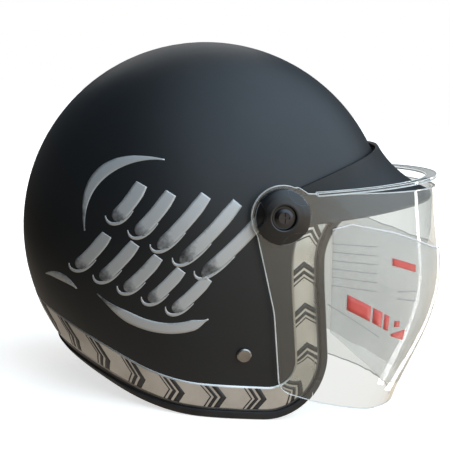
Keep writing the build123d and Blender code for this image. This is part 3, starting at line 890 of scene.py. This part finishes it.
def cap_profile():
    """Profile of the cap with close steps on its sloping face."""
    profile = []
    for (r0, h0), (r1, h1) in zip(CAP_PROFILE, CAP_PROFILE[1:]):
        count = max(1, int(math.hypot(r1 - r0, h1 - h0) / CAP_STEP))
        profile += [(r0 + (r1 - r0) * k / count, h0 + (h1 - h0) * k / count) for k in range(count)]
    return profile + [CAP_PROFILE[-1], (CAP_PROFILE[0][0], 0.0)]


def pivot_cap(name, side, cad):
    """Cap with a bevelled well and three sunk finger grips; side is -1 on the wearer's right."""
    base = np.abs(points_of(nodes[cad])[:, 0]).min()
    profile = cap_profile()
    points = []
    for r, h in profile:
        for k in range(CAP_COLUMNS):
            angle = 2 * math.pi * k / CAP_COLUMNS
            turns = [angle - math.radians(grip) for grip in SCALLOPS]
            away = min(math.hypot(r * math.cos(t) - SCALLOP_CENTRE, r * math.sin(t)) for t in turns)
            sunk = SCALLOP_DEPTH * smooth(SCALLOP_RADIUS - away, 0, SCALLOP_EDGE)
            height = max(h - sunk, min(h, CAP_FLOOR))
            points.append((side * (base + height / 1000), PIVOT.y - r * math.cos(angle) / 1000,
                           PIVOT.z + r * math.sin(angle) / 1000))
    faces = grid_faces(len(profile), CAP_COLUMNS, closed_rows=True, closed_columns=True)
    new_piece(name, points, faces, MATERIALS["cap_black"], "helmet", cad)


pivot_cap("grip_cap_right", -1, "pivot_cap_right")
pivot_cap("grip_cap_left", 1, "pivot_cap_left")


# ---- padded lining ------------------------------------------------------------------------------
# Each pad is shrunk, swelled by a cloth simulation, sewn down along its channels and held inside the
# skin that it lies against.  Lengths are in millimetres, but voxels and seam spacing in metres.
PADS = {      # CAD node: name, shrink, most movement, outer skin, piping skin, channels at these |x| or y
    "crown_pad": ("crown_cushion", 1.5, 4.5, 28.7, 33.0, "x", (0, 34)),
    "brow_pad": ("brow_cushion", 1.2, 3.5, 28.7, 33.0, "x", (44,)),
    "rear_head_pad": ("rear_cushion", 1.5, 4.5, 28.7, 33.0, "x", (36,)),
    "neck_roll": ("nape_cushion", 2.0, 6.0, 6.2, 19.0, "x", (0, 52)),
    "cheek_pad_right": ("cheek_cushion_right", 2.4, 8.0, 13.2, 28.5, "y", (-38, 4)),
    "cheek_pad_left": ("cheek_cushion_left", 2.4, 8.0, 13.2, 28.5, "y", (-38, 4)),
}
PAD_VOXEL = 0.004
PAD_PRESSURE = 4.0
PAD_STEPS = 20
CHANNEL_DEPTH = 1.6
CHANNEL_WIDTH = 2.2
SEAM_SPACING = 0.002
LINER_VOXEL = 0.0035
LINER_SKIN = 4.3


def voxel_remesh(piece, size):
    remesh = piece.modifiers.new("remesh", "REMESH")
    remesh.mode = "VOXEL"
    remesh.voxel_size = size
    remesh.use_smooth_shade = True
    apply_modifiers(piece)


def hold_inside(piece, skin):
    """Brings points that swelled past a skin back onto it."""
    points = points_of(piece)
    past = inset_of(points) < skin
    points[past] = to_row(on_skin(to_head(points[past]), skin))
    move_points(piece, points)


def swell(piece, most):
    """Cloth under inner pressure, no gravity; no point moves further than most."""
    start = points_of(piece)
    cloth = piece.modifiers.new("cloth", "CLOTH")
    cloth.settings.use_pressure = True
    cloth.settings.uniform_pressure_force = PAD_PRESSURE
    cloth.settings.effector_weights.gravity = 0
    cloth.settings.quality = 5
    for step in range(1, PAD_STEPS + 1):
        bpy.context.scene.frame_set(step)
    apply_modifiers(piece)
    bpy.context.scene.frame_set(1)
    move = points_of(piece) - start
    length = np.linalg.norm(move, axis=1)
    move *= np.minimum(1, most / 1000 / np.maximum(length, 1e-9))[:, None]
    move_points(piece, start + move)


def soften(piece, rounds):
    smooth_out = piece.modifiers.new("smooth", "SMOOTH")
    smooth_out.iterations = rounds
    smooth_out.factor = 0.5
    apply_modifiers(piece)


def subdivide(piece):
    finer = piece.modifiers.new("finer", "SUBSURF")
    finer.levels = 1
    finer.render_levels = 1
    apply_modifiers(piece)
    piece.data.polygons.foreach_set("use_smooth", [True] * len(piece.data.polygons))


def press_channels(piece, axis, places, inner_skin, depth, width):
    """Sinks straight channels into the side of a piece that faces the head."""
    points = points_of(piece)
    head = to_head(points)
    across = np.abs(head[:, 0]) if axis == "x" else head[:, 1]
    near = np.min([np.abs(across - place) for place in places], axis=0)
    sunk = depth * np.exp(-(near / width)**2) * smooth(inset_of(points), inner_skin, inner_skin + 3)
    move_points(piece, points - normals_of(piece) * sunk[:, None] / 1000)


def contour(piece, values):
    """Closed loops of points where a value given at each vertex passes through zero."""
    points = points_of(piece)
    crossing = {}
    links = {}
    for polygon in piece.data.polygons:
        cut = [edge for edge in polygon.edge_keys if (values[edge[0]] > 0) != (values[edge[1]] > 0)]
        if len(cut) != 2:
            continue
        for a, b in cut:
            share = values[a] / (values[a] - values[b])
            crossing[(a, b)] = points[a] + (points[b] - points[a]) * share
        links.setdefault(cut[0], []).append(cut[1])
        links.setdefault(cut[1], []).append(cut[0])
    loops = []
    while links:
        edge = next(iter(links))
        loop = []
        while edge in links:
            loop.append(crossing[edge])
            following = links.pop(edge)
            edge = next((e for e in following if e in links), None)
        loops.append(np.array(loop))
    return loops


def even_loop(loop, spacing):
    """Closed loop resampled at even steps and smoothed."""
    closed = np.concatenate([loop, loop[:1]])
    points = resample(closed, spacing)[:-1]
    for _ in range(4):
        points = (np.roll(points, 1, axis=0) + 2 * points + np.roll(points, -1, axis=0)) / 4
    return points


def cushions():
    for cad, (name, shrink, most, outer, seam_skin, axis, places) in PADS.items():
        piece = copy_of(cad, name)
        voxel_remesh(piece, PAD_VOXEL)
        move_points(piece, points_of(piece) - normals_of(piece) * shrink / 1000)
        soften(piece, 3)
        swell(piece, most)
        soften(piece, 2)
        subdivide(piece)
        press_channels(piece, axis, places, (outer + seam_skin) / 2, CHANNEL_DEPTH, CHANNEL_WIDTH)
        hold_inside(piece, outer)
        dress(piece, MATERIALS["lining"], "helmet", cad)
        loops = contour(piece, inset_of(points_of(piece)) - seam_skin)
        seams = [even_loop(loop, SEAM_SPACING) for loop in loops if len(loop) > 30]
        piping(name + "_piping", seams, SEAM_CORD)


def liner():
    """Moulded bead foam with rounded edges and air channels on its inner side."""
    piece = copy_of("impact_liner", "bead_foam_liner")
    voxel_remesh(piece, LINER_VOXEL)
    soften(piece, 2)
    press_channels(piece, "x", (20, 62), 20.0, 3.0, 4.0)
    hold_inside(piece, LINER_SKIN)
    dress(piece, MATERIALS["foam"], "helmet", "impact_liner")


cushions()
liner()


# ---- chin strap ---------------------------------------------------------------------------------
# Paths are (x, z) in millimetres of the row frame, drawn on the wearer's left; side -1 mirrors them.
STRAP_Y = joints["lever_hinge"]["pos_m"][1] * 1000
STRAP_WIDTH = 24.0
STRAP_THICKNESS = 1.8
LAYER_GAP = 1.9              # from the loop's middle to each layer's centre line
LEFT_HEIGHT = 6.2            # z of each strap's level run
RIGHT_HEIGHT = 4.4
ANCHOR_AT = (112.2, 49.683)
ANCHOR_LEAN = math.radians(7)
SLEEVE_SEAM_RADIUS = 0.0005
TAPE_STEP = 0.42
STITCH_RINGS, STITCH_COLUMNS = 5, 6
STITCH_HALF_LENGTH = 1.15


def anchored(x, z):
    c, s = math.cos(ANCHOR_LEAN), math.sin(ANCHOR_LEAN)
    return ANCHOR_AT[0] + x * c + z * s, ANCHOR_AT[1] - x * s + z * c


def tape(name, points, radii, width, thickness, side, body, cad, slot, rib=0.09, pitch=1.7):
    """Woven tape along a path, flat across Y, with raised herringbone ribs and firm edges."""
    path, normals = rounded_path(points, radii, TAPE_STEP)
    run = np.arange(len(path)) * TAPE_STEP
    v = np.linspace(-1, 1, 29)
    half = thickness / 2 * (1 - 0.5 * np.abs(v)**16) - rib
    zigzag = np.abs(np.mod(v * 3, 2) - 1)
    ribs = rib * np.cos(2 * math.pi * (run[:, None] / pitch + 1.2 * zigzag[None, :]))
    faces = []
    for turned in (1, -1):
        offset = (turned * (half[None, :] + ribs))[:, ::turned]
        y = np.broadcast_to(STRAP_Y + v[::turned] * width / 2, offset.shape)
        x = path[:, :1] + normals[:, :1] * offset
        z = path[:, 1:] + normals[:, 1:] * offset
        faces.append(np.stack([side * x, y, z], axis=2))
    ring = np.concatenate(faces, axis=1) / 1000
    new_piece(name, ring.reshape(-1, 3), tube_faces(*ring.shape[:2]), MATERIALS[slot], body, cad)


def strap_path(height, inner_end):
    """Tail, loop on the hardware, level run, bend up the flank, loop on the anchor plate, tail."""
    near = inner_end - 1.1
    low, high = height - LAYER_GAP, height + LAYER_GAP
    points = [(inner_end + 18, low), (near, low), (near, high), (inner_end + 13, high),
              (inner_end + 20, height), (102.6, height), anchored(-3.5, -35), anchored(-1.6, -29),
              anchored(-1.6, -19.8), anchored(-5.4, -19.8), anchored(-5.4, -37)]
    return points, [0, 1.88, 1.88, 6, 6, 6, 12, 10, 1.88, 1.88, 0]


def stitches(name, spots, side):
    """Short raised threads; spots are (x, y, z, direction in degrees) on level faces, in mm."""
    points, faces = [], []
    for x, y, z, heading in spots:
        base = len(points)
        c, s = math.cos(math.radians(heading)), math.sin(math.radians(heading))
        for i in range(STITCH_RINGS):
            along = STITCH_HALF_LENGTH * (2 * i / (STITCH_RINGS - 1) - 1)
            size = 0.32 * math.sqrt(max(0.08, 1 - (along / 1.25)**2))
            for j in range(STITCH_COLUMNS):
                angle = 2 * math.pi * j / STITCH_COLUMNS
                across = size * math.cos(angle)
                points.append((side * (x + along * c - across * s) / 1000,
                               (y + along * s + across * c) / 1000,
                               (z + 0.8 * size * math.sin(angle)) / 1000))
        faces += [tuple(base + i for i in f) for f in tube_faces(STITCH_RINGS, STITCH_COLUMNS)]
    new_piece(name, points, faces, THREAD, "helmet")


def box_stitch(start, end, z):
    """Rectangle of stitches with a cross in it."""
    middle, half = (start + end) / 2, (end - start) / 2
    wide = STRAP_WIDTH / 2 - 3
    spots = []
    for k in range(4):
        x = start + (k + 0.5) * (end - start) / 4
        spots += [(x, STRAP_Y + wide, z, 0), (x, STRAP_Y - wide, z, 0)]
    for k in range(6):
        y = STRAP_Y - wide + (k + 0.5) * 2 * wide / 6
        spots += [(start, y, z, 90), (end, y, z, 90)]
    tilt = math.degrees(math.atan2(wide, half))
    for k in range(6):
        share = (k + 0.5) / 3 - 1
        spots += [(middle + share * half, STRAP_Y + share * wide, z, tilt),
                  (middle + share * half, STRAP_Y - share * wide, z, -tilt)]
    return spots


def sleeve(name, height, start, end, side, cad):
    """Quilted comfort sleeve round the strap, drawn in at both ends, with a seam on each edge."""
    rows, around = 60, 48
    tall, wide = 3.15, STRAP_WIDTH / 2 + 4.4
    channels = [start + (end - start) * k / 3 for k in (1, 2)]
    points, edges = [], ([], [])
    for i in range(rows):
        t = i / (rows - 1)
        x = start + (end - start) * t
        ends = abs(2 * t - 1)
        pressed = max(math.exp(-((x - c) / 1.1)**2) for c in channels)
        a = wide * (1 - 0.08 * ends**10)
        b = tall * (1 - 0.42 * ends**9) * (1 - 0.2 * pressed)
        for j in range(around):
            angle = 2 * math.pi * j / around
            c, s = math.cos(angle), math.sin(angle)
            y = a * math.copysign(abs(c)**0.55, c)
            z = b * math.copysign(abs(s)**0.85, s)
            points.append((side * x / 1000, (STRAP_Y + y) / 1000, (height + z) / 1000))
        for edge, sign in zip(edges, (1, -1)):
            edge.append((side * x / 1000, (STRAP_Y + sign * (a + 0.1)) / 1000, height / 1000))
    piece = new_piece(name, points, tube_faces(rows, around), MATERIALS["lining"], "helmet", cad)
    seams = [np.array(edge) for edge in edges]
    piping(name + "_seams", seams, THREAD, radius=SLEEVE_SEAM_RADIUS, cyclic=False)


def chin_strap():
    for end, side, height, inner_end in (("left", 1, LEFT_HEIGHT, 38.8), ("right", -1, RIGHT_HEIGHT, 30.8)):
        points, radii = strap_path(height, inner_end)
        tape(f"woven_strap_{end}", points, radii, STRAP_WIDTH, STRAP_THICKNESS, side, "helmet",
             f"chin_strap_{end}", "webbing")
        top = height + LAYER_GAP + STRAP_THICKNESS / 2 + 0.05
        stitches(f"strap_stitches_{end}", box_stitch(inner_end + 6.4, inner_end + 11.6, top), side)
    sleeve("comfort_sleeve_left", LEFT_HEIGHT, 72, 95, 1, "strap_sleeve_left")
    sleeve("comfort_sleeve_right", RIGHT_HEIGHT, 52, 95, -1, "strap_sleeve_right")
    tape("ribbon_tab", [(30.6, 13.32), (45.7, 13.32), (45.7, 13.92), (30.6, 13.92)], [0, 0.29, 0.29, 0],
         14, 0.5, -1, "lever_body", "pull_tab", "pull_ribbon", 0.05, 1.1)


chin_strap()


# ---- studio -------------------------------------------------------------------------------------
SOFTBOX = (-0.48, -0.5, 0.72)        # direction of the brightest part of the surroundings
AMBIENT = 0.11
WARM_BELOW = (1.0, 0.9, 0.76)
COOL_ABOVE = (0.66, 0.83, 1.0)
FAR_FILL_AT = Vector((1.5, 0.1, 1.3))
FAR_FILL_SIZE = 1.2
FAR_FILL_POWER = 4
STRIP_STRENGTH = 9
STRIPS = {      # corners of panels that show as long bright reflections
    "tall_strip": ((0.22, -1.6, 0), (0.33, -1.6, 0), (0.36, -1.6, 0.5), (0.25, -1.6, 0.5)),
    "low_strip": ((-0.085, -0.16, 0.001), (-0.068, -0.16, 0.001), (0.33, -1.6, 0.001), (0.22, -1.6, 0.001)),
}


def seen_through(tree):
    """1 where something is seen through clear plastic, and no surface has scattered the ray."""
    rays = node(tree, "ShaderNodeLightPath").outputs
    bounces = calculate(tree, "MAXIMUM", rays["Diffuse Depth"], rays["Glossy Depth"])
    return calculate(tree, "SUBTRACT", rays["Is Transmission Ray"], bounces, clamp=True)


def looked_at(tree):
    """1 where something is seen straight or through clear plastic."""
    straight = node(tree, "ShaderNodeLightPath").outputs["Is Camera Ray"]
    return calculate(tree, "MAXIMUM", straight, seen_through(tree))


def studio_world():
    """White backdrop; the light comes mostly from ahead, cool from above and warm from below."""
    world = bpy.data.worlds.new("studio")
    bpy.context.scene.world = world
    world.use_nodes = True
    tree = world.node_tree
    backdrop = tree.nodes["Background"]
    backdrop.inputs["Color"].default_value = (1, 1, 1, 1)
    glow = node(tree, "ShaderNodeBackground")
    split = node(tree, "ShaderNodeSeparateXYZ")
    place = node(tree, "ShaderNodeTexCoord").outputs["Generated"]
    tree.links.new(place, split.inputs["Vector"])
    height = map_range(tree, split.outputs["Z"], -0.4, 0.55, 0, 1)
    tree.links.new(colour_ramp(tree, height, (0, WARM_BELOW), (1, COOL_ABOVE)), glow.inputs["Color"])
    toward = node(tree, "ShaderNodeVectorMath", operation="DOT_PRODUCT")
    toward.inputs[1].default_value = SOFTBOX
    tree.links.new(place, toward.inputs[0])
    ahead = map_range(tree, toward.outputs["Value"], 0.2, 1.02, 0, 2.7, True)
    behind = map_range(tree, split.outputs["Y"], 0.5, -0.2, 0.1, 1, True)
    tree.links.new(calculate(tree, "MULTIPLY_ADD", ahead, behind, AMBIENT), glow.inputs["Strength"])
    show(tree, mix_shaders(tree, looked_at(tree), glow.outputs[0], backdrop.outputs[0]), "World Output")


def floor():
    """Pale floor, even through clear plastic and unseen from below; it lights the front warmly."""
    bpy.ops.mesh.primitive_plane_add(size=30, location=(0, 0, -0.0003))
    plane = bpy.context.object
    plane.name = "floor"
    mat, tree, shader = material("pale_floor", (0.92, 0.83, 0.74), 0.7, Emission_Color=(1, 1, 1, 1))
    straight = node(tree, "ShaderNodeLightPath").outputs["Is Camera Ray"]
    tree.links.new(map_range(tree, straight, 0, 1, 0.1, 0.62), shader.inputs["Emission Strength"])
    even = node(tree, "ShaderNodeEmission", Strength=0.97)
    clear = node(tree, "ShaderNodeBsdfTransparent")
    warm = node(tree, "ShaderNodeEmission", Color=(1.0, 0.88, 0.74, 1))
    geometry = node(tree, "ShaderNodeNewGeometry").outputs
    place = node(tree, "ShaderNodeSeparateXYZ")
    tree.links.new(geometry["Position"], place.inputs[0])
    tree.links.new(map_range(tree, place.outputs["Y"], 0.45, -0.6, 0.07, 1.3), warm.inputs["Strength"])
    bounced = calculate(tree, "SUBTRACT", 1.0, looked_at(tree))
    shown = mix_shaders(tree, seen_through(tree), shader.outputs[0], even.outputs[0])
    shown = mix_shaders(tree, bounced, shown, warm.outputs[0])
    show(tree, mix_shaders(tree, geometry["Backfacing"], shown, clear.outputs[0]))
    paint(plane, mat)


def reflectors():
    """Glowing panels that show only as reflections."""
    for name, corners in STRIPS.items():
        panel = new_mesh(name, corners, [(0, 1, 2, 3)], smooth=False)
        mat, _, _ = material(name, (0, 0, 0), 1.0, Emission_Color=(1, 1, 1, 1),
                             Emission_Strength=STRIP_STRENGTH)
        paint(panel, mat)
        for kind in ("camera", "diffuse", "transmission", "volume_scatter", "shadow"):
            setattr(panel, "visible_" + kind, False)


def far_fill():
    """Broad soft lamp on the wearer's left, aimed at the middle of the helmet."""
    light = bpy.data.lights.new("far_fill", "AREA")
    light.size = FAR_FILL_SIZE
    light.energy = FAR_FILL_POWER
    lamp = bpy.data.objects.new("far_fill", light)
    bpy.context.scene.collection.objects.link(lamp)
    lamp.location = FAR_FILL_AT
    lamp.visible_camera = False
    lamp.visible_transmission = False
    lamp.rotation_euler = (Vector((0, 0, 0.13)) - FAR_FILL_AT).to_track_quat("-Z", "Y").to_euler()


CAMERA_TURN = math.radians(8)        # toward the rear
CAMERA_LIFT = math.radians(8)
CAMERA_DISTANCE = 0.8874
CAMERA_LENS = 87.92
TARGET_RIGHT = 0.01534               # aim, from the dome centre
TARGET_DOWN = 0.0008


def camera():
    """Side view from the wearer's right, turned a little to the rear and looking a little down."""
    flat = math.cos(CAMERA_LIFT)
    back = HEAD_TURN @ Vector((-flat * math.cos(CAMERA_TURN), flat * math.sin(CAMERA_TURN),
                               math.sin(CAMERA_LIFT)))
    right = (-back).cross(HEAD_TURN @ Vector((0, 0, 1))).normalized()
    up = right.cross(-back).normalized()
    centre = HEAD @ Vector((0, 0, 0))
    place = centre + back * CAMERA_DISTANCE
    look = (centre + right * TARGET_RIGHT - up * TARGET_DOWN - place).normalized()
    right = look.cross(up).normalized()
    up = right.cross(look)
    lens = bpy.data.cameras.new("camera")
    lens.lens = CAMERA_LENS
    shot = bpy.data.objects.new("camera", lens)
    bpy.context.scene.collection.objects.link(shot)
    shot.matrix_world = Matrix.Translation(place) @ Matrix((right, up, -look)).transposed().to_4x4()
    bpy.context.scene.camera = shot


studio_world()
floor()
far_fill()
reflectors()
camera()
bpy.context.scene.view_settings.view_transform = "Standard"
